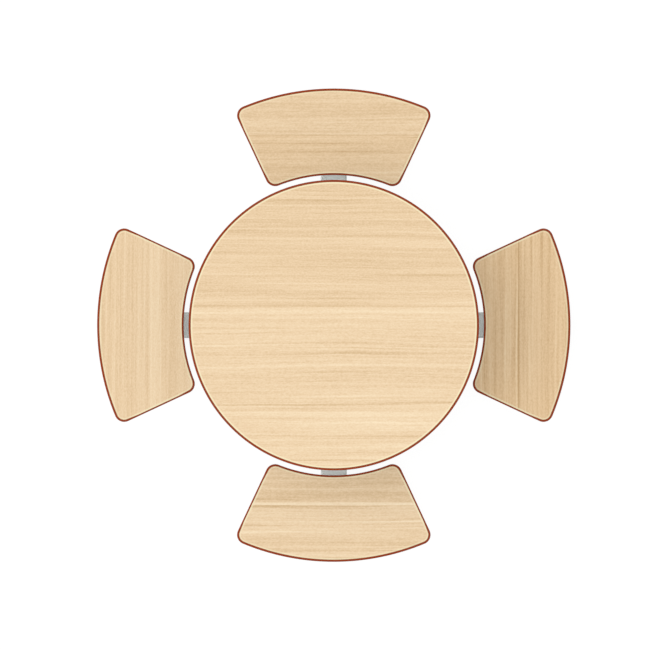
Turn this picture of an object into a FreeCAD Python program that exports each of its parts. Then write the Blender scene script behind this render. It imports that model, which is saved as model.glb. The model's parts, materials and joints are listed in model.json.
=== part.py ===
import FreeCAD, Part

import math
import os

from FreeCAD import Vector

# Round dining table for four on one steel base, with a swivel seat on each of its four arms.
#
# The base is a square column with four flat box-section arms near the floor. Each arm carries an
# upright square post, and stands on a levelling foot near its outer end. A bearing block in the post
# holds the spindle of a seat, and a key below the block keeps the spindle from lifting out. A square
# torsion bar runs from the spindle down to an anchor at the post's foot. It turns an empty seat back
# until its hollow edge follows the table, and a lug on the spindle meets a stop at each limit of the
# swivel. The table top and the seats are laminated boards with a moulded edge all round, each on a
# ribbed casting.
#
# Frame: the origin is on the floor under the column, and +Z is up. Station 1 lies along +X, and the
# next ones follow it at equal turns towards +Y. Sizes are in millimetres and angles in degrees.

# Table top
TABLE_HEIGHT = 740.0
TABLE_DIAMETER = 900.0
TOP_BOARD = 27.0

# Seats. Each is a sector of a ring around the table, so its inner edge runs along the table's edge.
STATIONS = 4
SEAT_HEIGHT = 450.0
SEAT_GAP = 15.0
SEAT_DEPTH = 268.0
SEAT_HALF_ANGLE = 25.0
SEAT_CORNER = 30.0
SEAT_BOARD = 20.0
EDGE_THICKNESS = 6.0

# Column, arms and posts
TUBE_WALL = 3.0
TUBE_CORNER = 6.0
COLUMN_SIDE = 100.0
ARM_WIDTH = 80.0
ARM_HEIGHT = 40.0
ARM_ABOVE_FLOOR = 28.0
ARM_SETBACK = 36.0
POST_SIDE = 60.0
BASE_PLATE = 4.0
CAP_THICKNESS = 3.0
CAP_PLUG = 14.0

# Swivel
SWIVEL_LIMIT = 90.0
SPINDLE_HUB_DIAMETER = 40.0
SPINDLE_HUB_HEIGHT = 27.0
SPINDLE_DIAMETER = 25.0
SPINDLE_TAIL = 18.0
BLOCK_LENGTH = 60.0
BLOCK_FLANGE = 5.0
STOP_LENGTH = 8.0
STOP_HEIGHT = 8.0
LUG_WIDTH = 10.0
LUG_HEIGHT = 12.0
KEY_LENGTH = 36.0
KEY_WIDTH = 5.0
KEY_HEIGHT = 8.0
BAR_SIDE = 2.5
BAR_SOCKET = 12.0
ANCHOR_SIDE = 20.0
ANCHOR_HEIGHT = 12.0

# Castings under the boards
SEAT_LIMB_ALONG = 80.0
SEAT_LIMB_ACROSS = 170.0
SEAT_LIMB_ROOT = 42.0
SEAT_LIMB_TIP = 26.0
SEAT_FLANGE = 5.0
SEAT_RIB_DEPTH = 16.0
TOP_HUB_SIDE = 160.0
TOP_HUB_HEIGHT = 22.0
TOP_HUB_CHAMFER = 12.0
TOP_LIMB_REACH = 320.0
TOP_LIMB_ROOT = 64.0
TOP_LIMB_TIP = 34.0
TOP_FLANGE = 6.0
TOP_RIB_DEPTH = 16.0
HEAD_PLATE = 8.0
RIB_THICKNESS = 7.0
RIB_TIP_DEPTH = 4.0
RIB_HOLLOW = 2.0

# Levelling feet
FOOT_BASE_FLATS = 36.0
FOOT_BASE_HEIGHT = 12.0
FOOT_STUD_DIAMETER = 10.0
FOOT_NUT_FLATS = 17.0
FOOT_NUT_HEIGHT = 8.0
FOOT_STUD_SPARE = 12.0
FOOT_INSET = 35.0

# Clearances, on the radius where round
RUNNING_CLEARANCE = 0.05
FREE_CLEARANCE = 0.3

# Sizes and places that follow from the driving dimensions
STATION_TURN = 360.0 / STATIONS
TABLE_RADIUS = TABLE_DIAMETER / 2
TOP_UNDERSIDE = TABLE_HEIGHT - TOP_BOARD
SEAT_INNER_RADIUS = TABLE_RADIUS + SEAT_GAP
SEAT_OUTER_RADIUS = SEAT_INNER_RADIUS + SEAT_DEPTH
SEAT_UNDERSIDE = SEAT_HEIGHT - SEAT_BOARD
ARM_TOP = ARM_ABOVE_FLOOR + ARM_HEIGHT
ARM_FLOOR = ARM_ABOVE_FLOOR + TUBE_WALL
ARM_END = SEAT_OUTER_RADIUS - ARM_SETBACK
FOOT_PLACE = ARM_END - FOOT_INSET
POST_BORE_SIDE = POST_SIDE - 2 * TUBE_WALL
# Plastic pieces on a tube's end have a flat that touches the middle of the tube's rounded corner.
TUBE_CORNER_FLAT = TUBE_CORNER * (2 - math.sqrt(2))
SPINDLE_RADIUS = SPINDLE_DIAMETER / 2
SPINDLE_HUB_RADIUS = SPINDLE_HUB_DIAMETER / 2
HUB_TOP = SEAT_UNDERSIDE - SEAT_FLANGE
HUB_BOTTOM = HUB_TOP - SPINDLE_HUB_HEIGHT
POST_TOP = HUB_BOTTOM - BLOCK_FLANGE
BLOCK_BOTTOM = HUB_BOTTOM - BLOCK_LENGTH
KEY_TOP = BLOCK_BOTTOM - FREE_CLEARANCE
KEY_BOTTOM = KEY_TOP - KEY_HEIGHT
SPINDLE_BOTTOM = KEY_BOTTOM - SPINDLE_TAIL
HEAD_PLATE_TOP = TOP_UNDERSIDE - TOP_HUB_HEIGHT
COLUMN_TOP = HEAD_PLATE_TOP - HEAD_PLATE
UP = Vector(0, 0, 1)
ORIGIN = Vector(0, 0, 0)


def sector_balance_radius():
    """Distance from the table's axis to the centre of area of a seat, where its spindle stands."""
    half = math.radians(SEAT_HALF_ANGLE)
    cubes = SEAT_OUTER_RADIUS**3 - SEAT_INNER_RADIUS**3
    squares = SEAT_OUTER_RADIUS**2 - SEAT_INNER_RADIUS**2
    return 2 / 3 * cubes / squares * math.sin(half) / half


SPINDLE_PLACE = sector_balance_radius()


# Helpers


def disc(radius, bottom, top, x=0.0):
    """Upright cylinder from height bottom to height top."""
    return Part.makeCylinder(radius, top - bottom, Vector(x, 0, bottom), UP)


def block(length, width, bottom, top):
    """Upright box centred on the Z axis, with its length along X and its width along Y."""
    return Part.makeBox(length, width, top - bottom, Vector(-length / 2, -width / 2, bottom))


def chamfered_block(length, width, chamfer, bottom, top):
    """Upright box with its four upright edges cut off."""
    box = block(length, width, bottom, top)
    return box.makeChamfer(chamfer, upright_edges(box))


def upright_edges(box):
    """The four edges of an upright box that run along Z."""
    return [edge for edge in box.Edges if abs(edge.tangentAt(0).z) == 1]


def hexagon(across_flats, bottom, top, x=0.0):
    """Upright hexagonal prism."""
    corner = across_flats / math.sqrt(3)
    turns = [math.radians(60 * k) for k in range(7)]
    points = [Vector(x + corner * math.cos(t), corner * math.sin(t), bottom) for t in turns]
    return Part.Face(Part.makePolygon(points)).extrude(UP * (top - bottom))


def prism(wire, bottom, top):
    """Solid between two heights over a wire that lies in the XY plane."""
    solid = Part.Face(wire).extrude(UP * (top - bottom))
    solid.translate(UP * bottom)
    return solid


def box_tube(length, width, bottom, top):
    """Upright rolled box section: a rectangular tube with its outer corners rounded."""
    bar = block(length, width, bottom, top)
    bore = block(length - 2 * TUBE_WALL, width - 2 * TUBE_WALL, bottom, top)
    return bar.makeFillet(TUBE_CORNER, upright_edges(bar)).cut(bore)


def laid_along_arm(bar):
    """Lays an upright bar outwards along the arm of station 1, so that its length becomes its height."""
    bar.rotate(ORIGIN, Vector(0, 1, 0), 90)
    bar.translate(UP * (ARM_ABOVE_FLOOR + ARM_HEIGHT / 2))
    return bar


def at_station(shape, station):
    """Copy of a piece of station 1, turned to another station."""
    turned = shape.copy()
    turned.rotate(ORIGIN, UP, (station - 1) * STATION_TURN)
    return turned


def at_spindle(shape):
    """Moves a piece from the table's axis to the spindle of station 1."""
    shape.translate(Vector(SPINDLE_PLACE, 0, 0))
    return shape


# Boards and their edges


def table_outline(inset):
    """Edge of the table top, moved inwards."""
    circle = Part.Circle(ORIGIN, UP, TABLE_RADIUS - inset)
    return Part.Wire([circle.toShape()])


def seat_outline(inset):
    """Edge of the seat of station 1, moved inwards: two arcs around the table's axis, two straight ends
    that point at that axis, and four round corners that keep their centres."""
    half = math.radians(SEAT_HALF_ANGLE)
    along = Vector(math.cos(half), math.sin(half), 0)
    outward = Vector(-math.sin(half), math.cos(half), 0)
    corner = SEAT_CORNER - inset

    def corner_points(distance, side):
        """Where a corner leaves the curved edge, its middle, and where it meets the straight end."""
        centre = along * math.sqrt(distance**2 - SEAT_CORNER**2) - outward * SEAT_CORNER
        radial = Vector(centre).normalize() * side
        middle = (radial + outward).normalize()
        return [centre + direction * corner for direction in (radial, middle, outward)]

    def mirrored(points):
        return [Vector(p.x, -p.y, 0) for p in reversed(points)]

    outer = corner_points(SEAT_OUTER_RADIUS - SEAT_CORNER, 1)
    inner = corner_points(SEAT_INNER_RADIUS + SEAT_CORNER, -1)
    other_outer, other_inner = mirrored(outer), mirrored(inner)
    outer_middle = Vector(SEAT_OUTER_RADIUS - inset, 0, 0)
    inner_middle = Vector(SEAT_INNER_RADIUS + inset, 0, 0)
    edges = [
        Part.Arc(*outer),
        Part.LineSegment(outer[2], inner[2]),
        Part.Arc(*reversed(inner)),
        Part.Arc(inner[0], inner_middle, other_inner[2]),
        Part.Arc(*reversed(other_inner)),
        Part.LineSegment(other_inner[0], other_outer[0]),
        Part.Arc(*other_outer),
        Part.Arc(other_outer[2], outer_middle, outer[0]),
    ]
    return Part.Wire([edge.toShape() for edge in edges])


def moulded_edge(outline, bottom, top):
    """Band of plastic moulded round a board."""
    return prism(outline(0), bottom, top).cut(prism(outline(EDGE_THICKNESS), bottom, top))


def tabletop_board():
    return prism(table_outline(EDGE_THICKNESS), TOP_UNDERSIDE, TABLE_HEIGHT)


def tabletop_edge():
    return moulded_edge(table_outline, TOP_UNDERSIDE, TABLE_HEIGHT)


def seat_board():
    return prism(seat_outline(EDGE_THICKNESS), SEAT_UNDERSIDE, SEAT_HEIGHT)


def seat_edge():
    return moulded_edge(seat_outline, SEAT_UNDERSIDE, SEAT_HEIGHT)


# Castings under the boards


def ribbed_limb(reach, root_width, tip_width, flange, rib_start, root_depth):
    """Limb from its casting's axis out along X: a flange with its flat top at height 0, and a rib under
    it. Both taper towards the tip, and the rib's lower edge is hollow."""
    half_root, half_tip = root_width / 2, tip_width / 2
    plan = Part.makePolygon(
        [
            Vector(0, -half_root, 0),
            Vector(reach - half_tip, -half_tip, 0),
            Vector(reach, -half_tip / 2, 0),
            Vector(reach, half_tip / 2, 0),
            Vector(reach - half_tip, half_tip, 0),
            Vector(0, half_root, 0),
            Vector(0, -half_root, 0),
        ]
    )
    root_point = Vector(rib_start, 0, -flange - root_depth)
    tip_point = Vector(reach - tip_width, 0, -flange - RIB_TIP_DEPTH)
    hollow = (root_point + tip_point) / 2 + UP * RIB_HOLLOW
    top_root, top_tip = Vector(rib_start, 0, -flange), Vector(reach - half_tip, 0, -flange)
    side = Part.Wire(
        [
            Part.LineSegment(top_root, top_tip).toShape(),
            Part.LineSegment(top_tip, tip_point).toShape(),
            Part.Arc(tip_point, hollow, root_point).toShape(),
            Part.LineSegment(root_point, top_root).toShape(),
        ]
    )
    rib = Part.Face(side).extrude(Vector(0, RIB_THICKNESS, 0))
    rib.translate(Vector(0, -RIB_THICKNESS / 2, 0))
    return prism(plan, -flange, 0).fuse(rib)


def seat_spider():
    """Casting under a seat: four limbs that cross over the spindle's hub, with their ribs around it."""
    reach = math.hypot(SEAT_LIMB_ALONG, SEAT_LIMB_ACROSS)
    slope = math.degrees(math.atan2(SEAT_LIMB_ACROSS, SEAT_LIMB_ALONG))
    limbs = []
    for turn in (slope, 180 - slope, 180 + slope, -slope):
        limb = ribbed_limb(
            reach,
            SEAT_LIMB_ROOT,
            SEAT_LIMB_TIP,
            SEAT_FLANGE,
            SPINDLE_HUB_RADIUS,
            SEAT_RIB_DEPTH,
        )
        limb.rotate(ORIGIN, UP, turn)
        limbs.append(limb)
    casting = limbs[0].fuse(limbs[1:]).removeSplitter()
    casting.translate(UP * SEAT_UNDERSIDE)
    return at_spindle(casting)


def top_hub(bottom, top):
    """Square block with its corners cut off, the outline of the top casting's hub and the head plate."""
    return chamfered_block(TOP_HUB_SIDE, TOP_HUB_SIDE, TOP_HUB_CHAMFER, bottom, top)


def top_spider():
    """Casting under the table top: a square hub, and one limb towards each seat."""
    hub = top_hub(-TOP_HUB_HEIGHT, 0)
    limbs = []
    for station in range(STATIONS):
        limb = ribbed_limb(
            TOP_LIMB_REACH,
            TOP_LIMB_ROOT,
            TOP_LIMB_TIP,
            TOP_FLANGE,
            TOP_HUB_SIDE / 2,
            TOP_RIB_DEPTH,
        )
        limb.rotate(ORIGIN, UP, station * STATION_TURN)
        limbs.append(limb)
    casting = hub.fuse(limbs).removeSplitter()
    casting.translate(UP * TOP_UNDERSIDE)
    return casting


# Base


def column():
    """Square tube from the level of the arms' undersides to the head plate."""
    return box_tube(COLUMN_SIDE, COLUMN_SIDE, ARM_ABOVE_FLOOR, COLUMN_TOP)


def column_base_plate():
    """Plate that closes the lower end of the column's bore."""
    side = COLUMN_SIDE - 2 * TUBE_WALL
    return block(side, side, ARM_ABOVE_FLOOR, ARM_ABOVE_FLOOR + BASE_PLATE)


def column_head_plate():
    """Plate on the column's upper end, the same size as the hub that it carries."""
    return top_hub(COLUMN_TOP, HEAD_PLATE_TOP)


def arm():
    """Flat box-section arm, with a nut welded inside over the hole for the levelling foot's stud."""
    tube = laid_along_arm(box_tube(ARM_HEIGHT, ARM_WIDTH, COLUMN_SIDE / 2, ARM_END - CAP_THICKNESS))
    nut_top = ARM_FLOOR + FOOT_NUT_HEIGHT
    nut = hexagon(FOOT_NUT_FLATS, ARM_FLOOR, nut_top, FOOT_PLACE)
    bore = disc(FOOT_STUD_DIAMETER / 2 + RUNNING_CLEARANCE, ARM_ABOVE_FLOOR, nut_top, FOOT_PLACE)
    return tube.fuse(nut).cut(bore)


def arm_end_cap():
    """Plastic cap on the arm's end: a flush cover, and a plug in the tube."""
    cover_start = ARM_END - CAP_THICKNESS
    gap = 2 * (TUBE_WALL + RUNNING_CLEARANCE)
    cover = chamfered_block(ARM_HEIGHT, ARM_WIDTH, TUBE_CORNER_FLAT, cover_start, ARM_END)
    plug = block(ARM_HEIGHT - gap, ARM_WIDTH - gap, cover_start - CAP_PLUG, cover_start)
    return laid_along_arm(cover.fuse(plug))


def post():
    """Upright square tube on the arm, under the seat's spindle."""
    return at_spindle(box_tube(POST_SIDE, POST_SIDE, ARM_TOP, POST_TOP))


# Swivel


def bearing_block():
    """Moulded bearing for the spindle: a plug in the post, a flange on the post's end, and two stops
    on the flange."""
    plug_side = POST_BORE_SIDE - 2 * RUNNING_CLEARANCE
    plug = block(plug_side, plug_side, BLOCK_BOTTOM, POST_TOP)
    flange = chamfered_block(POST_SIDE, POST_SIDE, TUBE_CORNER_FLAT, POST_TOP, HUB_BOTTOM)
    bore = disc(SPINDLE_RADIUS + RUNNING_CLEARANCE, BLOCK_BOTTOM, HUB_BOTTOM)
    return at_spindle(plug.fuse([flange, stop(1), stop(-1)]).removeSplitter().cut(bore))


def stop(side):
    """Stop that the lug's flank meets at the swivel's limit, on the side that the seat turns to."""
    inner = SPINDLE_HUB_RADIUS + 2 * FREE_CLEARANCE
    width = POST_SIDE / 2 - TUBE_CORNER_FLAT - inner
    flank = LUG_WIDTH / 2 + FREE_CLEARANCE
    pad = Part.makeBox(width, STOP_LENGTH, STOP_HEIGHT)
    pad.translate(Vector(inner, min(side * flank, side * (flank + STOP_LENGTH)), HUB_BOTTOM))
    pad.rotate(ORIGIN, UP, side * SWIVEL_LIMIT)
    return pad


def spindle():
    """Turned spindle: a hub that turns on the bearing block's flange, a lug on the hub, and a shank down
    through the block, with a slot for the key and a square socket for the torsion bar."""
    hub = disc(SPINDLE_HUB_RADIUS, HUB_BOTTOM, HUB_TOP)
    shank = disc(SPINDLE_RADIUS, SPINDLE_BOTTOM, HUB_BOTTOM)
    lug_bottom = HUB_BOTTOM + FREE_CLEARANCE
    lug = block(POST_SIDE / 2, LUG_WIDTH, lug_bottom, lug_bottom + LUG_HEIGHT)
    lug.translate(Vector(POST_SIDE / 4, 0, 0))
    slot_width = KEY_WIDTH + 2 * RUNNING_CLEARANCE
    slot = block(2 * SPINDLE_DIAMETER, slot_width, KEY_BOTTOM - RUNNING_CLEARANCE, KEY_TOP)
    socket = bar_socket(SPINDLE_BOTTOM, SPINDLE_BOTTOM + BAR_SOCKET)
    return at_spindle(hub.fuse([shank, lug]).removeSplitter().cut([slot, socket]))


def bar_socket(bottom, top):
    """Square hole that takes an end of the torsion bar."""
    side = BAR_SIDE + 2 * RUNNING_CLEARANCE
    return block(side, side, bottom, top)


def retaining_key():
    """Flat key through the spindle under the bearing block."""
    return at_spindle(block(KEY_LENGTH, KEY_WIDTH, KEY_BOTTOM, KEY_TOP))


def torsion_bar():
    """Square spring bar from the anchor up into the spindle."""
    top = SPINDLE_BOTTOM + BAR_SOCKET - FREE_CLEARANCE
    return at_spindle(block(BAR_SIDE, BAR_SIDE, ARM_TOP, top))


def bar_anchor():
    """Block on the arm at the post's foot that holds the lower end of the torsion bar."""
    top = ARM_TOP + ANCHOR_HEIGHT
    return at_spindle(block(ANCHOR_SIDE, ANCHOR_SIDE, ARM_TOP, top).cut(bar_socket(ARM_TOP, top)))


# Levelling feet


def foot_base():
    """Hexagonal plastic base on the floor, which a spanner turns."""
    return hexagon(FOOT_BASE_FLATS, 0, FOOT_BASE_HEIGHT, FOOT_PLACE)


def foot_stud():
    """Stud from the base up through the arm's wall and nut, with room to screw the foot further out."""
    stud_top = ARM_FLOOR + FOOT_NUT_HEIGHT + FOOT_STUD_SPARE
    return disc(FOOT_STUD_DIAMETER / 2, FOOT_BASE_HEIGHT, stud_top, FOOT_PLACE)


# Output: one file per node, a node with several solids as one compound

TABLE_NODES = {
    "tabletop_board": tabletop_board,
    "tabletop_edge": tabletop_edge,
    "top_spider": top_spider,
    "column_head_plate": column_head_plate,
    "column": column,
    "column_base_plate": column_base_plate,
}
STATION_NODES = {
    "seat_board": seat_board,
    "seat_edge": seat_edge,
    "seat_spider": seat_spider,
    "spindle": spindle,
    "retaining_key": retaining_key,
    "arm": arm,
    "post": post,
    "foot_base": foot_base,
    "foot_stud": foot_stud,
}
GROUP_NODES = {
    "bearing_blocks": bearing_block,
    "torsion_bars": torsion_bar,
    "bar_anchors": bar_anchor,
    "arm_end_caps": arm_end_cap,
}


def save(node, shapes):
    """Writes a node's solids, and stops if one of its shapes isn't a single sound solid."""
    for shape in shapes:
        if not shape.isValid() or len(shape.Solids) != 1:
            raise ValueError(f"{node} isn't a single sound solid")
    solids = [shape.Solids[0] for shape in shapes]
    whole = solids[0] if len(solids) == 1 else Part.makeCompound(solids)
    whole.exportStep(f"parts/{node}.step")


def main():
    os.makedirs("parts", exist_ok=True)
    stations = range(1, STATIONS + 1)
    for node, make in TABLE_NODES.items():
        save(node, [make()])
    for node, make in STATION_NODES.items():
        piece = make()
        for station in stations:
            save(f"{node}_{station}", [at_station(piece, station)])
    for node, make in GROUP_NODES.items():
        piece = make()
        save(node, [at_station(piece, station) for station in stations])


main()
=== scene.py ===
# %% [markdown]
# # A round table with four swivel seats
#
# This lesson dresses the engineering model of a canteen table: a round top on a steel cross, with a
# curved seat on each of the four arms. The model, called the frame here, already holds every solid
# at its real size and knows how the seats turn. Blender adds what such a model leaves out: the
# finish of each surface, rounded edges, screws, weld beads and threads. Nothing is moved or
# resized. Lengths are in metres.

# %% Open the frame
import json
import math
import random

import bmesh
import bpy
from mathutils import Matrix, Vector

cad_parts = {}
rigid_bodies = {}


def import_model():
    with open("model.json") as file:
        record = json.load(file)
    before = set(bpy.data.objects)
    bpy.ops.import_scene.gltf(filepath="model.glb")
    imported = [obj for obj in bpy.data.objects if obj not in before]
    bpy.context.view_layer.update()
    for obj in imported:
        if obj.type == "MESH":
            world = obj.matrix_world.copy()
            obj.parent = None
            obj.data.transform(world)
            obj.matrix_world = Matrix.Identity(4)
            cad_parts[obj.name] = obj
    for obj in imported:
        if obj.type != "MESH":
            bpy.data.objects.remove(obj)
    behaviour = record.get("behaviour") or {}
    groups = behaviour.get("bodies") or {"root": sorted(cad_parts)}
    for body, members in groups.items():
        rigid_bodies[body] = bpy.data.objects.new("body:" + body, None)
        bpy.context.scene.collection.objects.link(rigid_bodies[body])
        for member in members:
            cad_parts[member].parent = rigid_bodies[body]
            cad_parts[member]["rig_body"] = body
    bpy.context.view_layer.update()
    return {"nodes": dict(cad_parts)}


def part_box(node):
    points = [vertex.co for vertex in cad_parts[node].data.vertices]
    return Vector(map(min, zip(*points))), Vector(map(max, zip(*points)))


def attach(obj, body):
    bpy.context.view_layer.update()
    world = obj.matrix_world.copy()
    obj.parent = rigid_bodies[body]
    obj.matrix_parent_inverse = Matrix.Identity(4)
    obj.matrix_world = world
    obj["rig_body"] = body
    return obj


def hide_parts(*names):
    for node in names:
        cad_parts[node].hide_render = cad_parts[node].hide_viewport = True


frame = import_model()
scene = bpy.context.scene
nodes = frame["nodes"]

# %% [markdown]
# ## Sizes
#
# Most sizes can be read from the frame: a node's box gives its reach and its heights. Only the few
# that a box can't give are named here.

# %% Sizes that the pieces share
MM = 0.001
STATIONS = (1, 2, 3, 4)
SEAT_HALF_ANGLE = math.radians(25)
SEAT_CORNER = 30 * MM
TUBE_CORNER = 6 * MM
ORIGIN, UP, DOWN = Vector((0, 0, 0)), Vector((0, 0, 1)), Vector((0, 0, -1))
FOUR_WAYS = ((1, 1), (-1, 1), (-1, -1), (1, -1))


def low(node):
    """Lowest corner of a node."""
    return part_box(node)[0]


def high(node):
    """Highest corner of a node."""
    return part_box(node)[1]


def station_turn(station):
    """Turn about the table's axis from station 1 to another one."""
    return Matrix.Rotation((station - 1) * math.tau / len(STATIONS), 4, "Z")


table_radius = high("tabletop_edge").x
edge_thickness = table_radius - high("tabletop_board").x
seat_reach = [vertex.co.xy.length for vertex in nodes["seat_edge_1"].data.vertices]
seat_inner_radius, seat_outer_radius = min(seat_reach), max(seat_reach)
spindle_place = (low("retaining_key_1").x + high("retaining_key_1").x) / 2
print(f"table radius {table_radius:.3f}, seats {seat_inner_radius:.3f} to {seat_outer_radius:.3f}")

# %% [markdown]
# ## Camera
#
# The main view is a plan with no perspective, so the camera is orthographic and looks straight
# down. The view is a square of 650 pixels, and its width in metres follows from how many of them
# the table takes up. The camera is a little to one side because the table isn't in the middle.

# %% Set up the camera
VIEW_SIDE = 650.0
TABLE_ACROSS = 290.6
TABLE_MIDDLE_RIGHT = 333.8
TABLE_MIDDLE_DOWN = 325.16
CAMERA_HEIGHT = 3.0

pixel = 2 * table_radius / TABLE_ACROSS
lens = bpy.data.cameras.new("plan_camera")
lens.type = "ORTHO"
lens.ortho_scale = VIEW_SIDE * pixel
camera = bpy.data.objects.new("plan_camera", lens)
right = (VIEW_SIDE / 2 - TABLE_MIDDLE_RIGHT) * pixel
back = (TABLE_MIDDLE_DOWN - VIEW_SIDE / 2) * pixel
camera.location = (right, back, CAMERA_HEIGHT)
scene.collection.objects.link(camera)
scene.camera = camera
scene.view_settings.view_transform = "Standard"
print(f"the view is {lens.ortho_scale:.3f} wide")

# %% [markdown]
# ## Shader tools
#
# Node trees get long when every node, property and link has its own line. One helper fills a
# node's sockets with numbers or links, and another adds a node and fills it. A third makes a node
# group with named sockets. A group holds an effect that several finishes share. It puts out only
# colours, masks and heights, and each material keeps its own shader.


# %% Helpers for nodes
def fill(tree, node, values):
    """Fills the sockets of a node with numbers or links."""
    for socket, value in values.items():
        if isinstance(value, bpy.types.NodeSocket):
            tree.links.new(value, node.inputs[socket])
        else:
            node.inputs[socket].default_value = value


def place(tree, kind, values=None, **settings):
    """Adds a node, sets its properties, and fills its sockets."""
    made = tree.nodes.new(kind)
    for key, value in settings.items():
        setattr(made, key, value)
    fill(tree, made, values or {})
    return made


def new_group(name, inputs, outputs):
    """Empty node group with named sockets: its tree, what goes in, and the node that puts out."""
    tree = bpy.data.node_groups.new(name, "ShaderNodeTree")
    for way, sockets in (("INPUT", inputs), ("OUTPUT", outputs)):
        for socket, kind in sockets.items():
            tree.interface.new_socket(socket, in_out=way, socket_type=f"NodeSocket{kind}")
    return tree, place(tree, "NodeGroupInput").outputs, place(tree, "NodeGroupOutput")


def use_group(tree, group, values):
    """A node group placed in a material with its own values."""
    return place(tree, "ShaderNodeGroup", values, node_tree=group).outputs


print("helpers for nodes ready")

# %% [markdown]
# The same few nodes come up in every effect, so each gets a short name.


# %% Helpers for sums, noise and colours
def math_node(tree, operation, first, second=0.0, clamp=False):
    """Result of one sum on two numbers or sockets."""
    values = {0: first, 1: second}
    return place(tree, "ShaderNodeMath", values, operation=operation, use_clamp=clamp).outputs[0]


def scaled(tree, vector, factors):
    """Vector with each of its parts multiplied."""
    values = {0: vector, 1: factors}
    return place(tree, "ShaderNodeVectorMath", values, operation="MULTIPLY").outputs[0]


def noise(tree, vector, scale, detail=2.0, roughness=0.5):
    """Smooth noise between 0 and 1, about 0.5."""
    values = {"Vector": vector, "Scale": scale, "Detail": detail, "Roughness": roughness}
    return place(tree, "ShaderNodeTexNoise", values).outputs["Fac"]


def centred(tree, layer, weight):
    """Noise moved to both sides of zero, and weighed."""
    return math_node(tree, "MULTIPLY", math_node(tree, "SUBTRACT", layer, 0.5), weight)


def remap(tree, value, start, end, to_start=0.0, to_end=1.0):
    """Value moved from one range to another, and held inside it."""
    values = {0: value, 1: start, 2: end, 3: to_start, 4: to_end}
    return place(tree, "ShaderNodeMapRange", values).outputs[0]


def mixed(tree, factor, first, second, blend="MIX"):
    """Colour between two others."""
    values = {0: factor, 6: first, 7: second}
    return place(tree, "ShaderNodeMix", values, data_type="RGBA", blend_type=blend).outputs[2]


print("helpers for effects ready")

# %% [markdown]
# Colours are easier to judge as a screen shows them, as red, green and blue up to 255. The shader
# wants the share of light that the surface sends back, so the helper undoes the screen's curve,
# divides by how bright the studio is, and takes off the pale sheen that the lamps add.

# %% Colours as a screen shows them
STUDIO_LEVEL, SHEEN = 1.47, 0.016
CURVE_FOOT, CURVE_POWER = 0.055, 2.4


def seen(red, green, blue):
    """Surface colour that looks so under the studio's light."""
    curve = [(part / 255 + CURVE_FOOT) / (1 + CURVE_FOOT) for part in (red, green, blue)]
    return tuple(part**CURVE_POWER / STUDIO_LEVEL - SHEEN for part in curve) + (1.0,)


print("table wood", [round(part, 3) for part in seen(238, 211, 174)])

# %% [markdown]
# ## Light and floor
#
# The ground is white, and the shadows are so soft that only the seats show them. An even sky fills
# every side, a narrow lamp straight above reaches the seats and arms past the table's edge, and a
# wide lamp on the left gives the shapes a light side and a dark side. Each level is the light that
# a face turned upwards gets from it, so the levels can be added up.

# %% Light the studio
SKY_LEVEL, SKY_SEEN_LEVEL = 0.72, 1.05
SKY_COLOR = (1, 0.99, 0.97, 1)
TOP_LAMP_LEVEL, TOP_LAMP_WIDTH = 0.40, 12
SIDE_LAMP_LEVEL, SIDE_LAMP_WIDTH = 0.35, 60
SIDE_LAMP_PLACE = Vector((-1, 0.1, 1.25))

world = bpy.data.worlds.new("even_sky")
world.use_nodes = True
scene.world = world
tree = world.node_tree
seen_by_camera = place(tree, "ShaderNodeLightPath").outputs["Is Camera Ray"]
strength = remap(tree, seen_by_camera, 0, 1, SKY_LEVEL, SKY_SEEN_LEVEL)
fill(tree, tree.nodes["Background"], {"Color": SKY_COLOR, "Strength": strength})


def add_lamp(name, towards, width, level):
    """Distant lamp in a direction, giving faces that look up so much light."""
    data = bpy.data.lights.new(name, "SUN")
    data.energy = level * math.pi / towards.normalized().z
    data.angle = math.radians(width)
    lamp = bpy.data.objects.new(name, data)
    lamp.rotation_mode = "QUATERNION"
    lamp.rotation_quaternion = towards.to_track_quat("Z", "Y")
    scene.collection.objects.link(lamp)


add_lamp("top_lamp", UP, TOP_LAMP_WIDTH, TOP_LAMP_LEVEL)
add_lamp("side_lamp", SIDE_LAMP_PLACE, SIDE_LAMP_WIDTH, SIDE_LAMP_LEVEL)
print(f"light on a face turned up: {SKY_LEVEL + TOP_LAMP_LEVEL + SIDE_LAMP_LEVEL:.2f}")

# %% [markdown]
# The floor glows for the camera alone, so it stays pale under the top without lighting the base
# from below. What the camera sees of it takes little shadow, and the pieces get back the light of a
# pale floor. It is see-through from below, to show the underside.

# %% Lay the floor
FLOOR_HALF_SIZE = 8.0
FLOOR_GLOW, FLOOR_SEEN_SHADE, FLOOR_BOUNCE_SHADE = 0.89, 0.12, 0.62

floor_material = bpy.data.materials.new("pale_floor")
floor_material.use_nodes = True
tree = floor_material.node_tree
shader = tree.nodes["Principled BSDF"]
seen_by_camera = place(tree, "ShaderNodeLightPath").outputs["Is Camera Ray"]
shade = remap(tree, seen_by_camera, 0, 1, FLOOR_BOUNCE_SHADE, FLOOR_SEEN_SHADE)
glow = math_node(tree, "MULTIPLY", seen_by_camera, FLOOR_GLOW)
fill(tree, shader, {"Base Color": shade, "Roughness": 0.9, "Specular IOR Level": 0.1})
fill(tree, shader, {"Emission Color": (1, 1, 1, 1), "Emission Strength": glow})
from_below = place(tree, "ShaderNodeNewGeometry").outputs["Backfacing"]
clear = place(tree, "ShaderNodeBsdfTransparent").outputs[0]
sides = place(tree, "ShaderNodeMixShader", {0: from_below, 1: shader.outputs[0], 2: clear})
fill(tree, tree.nodes["Material Output"], {"Surface": sides.outputs[0]})

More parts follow.
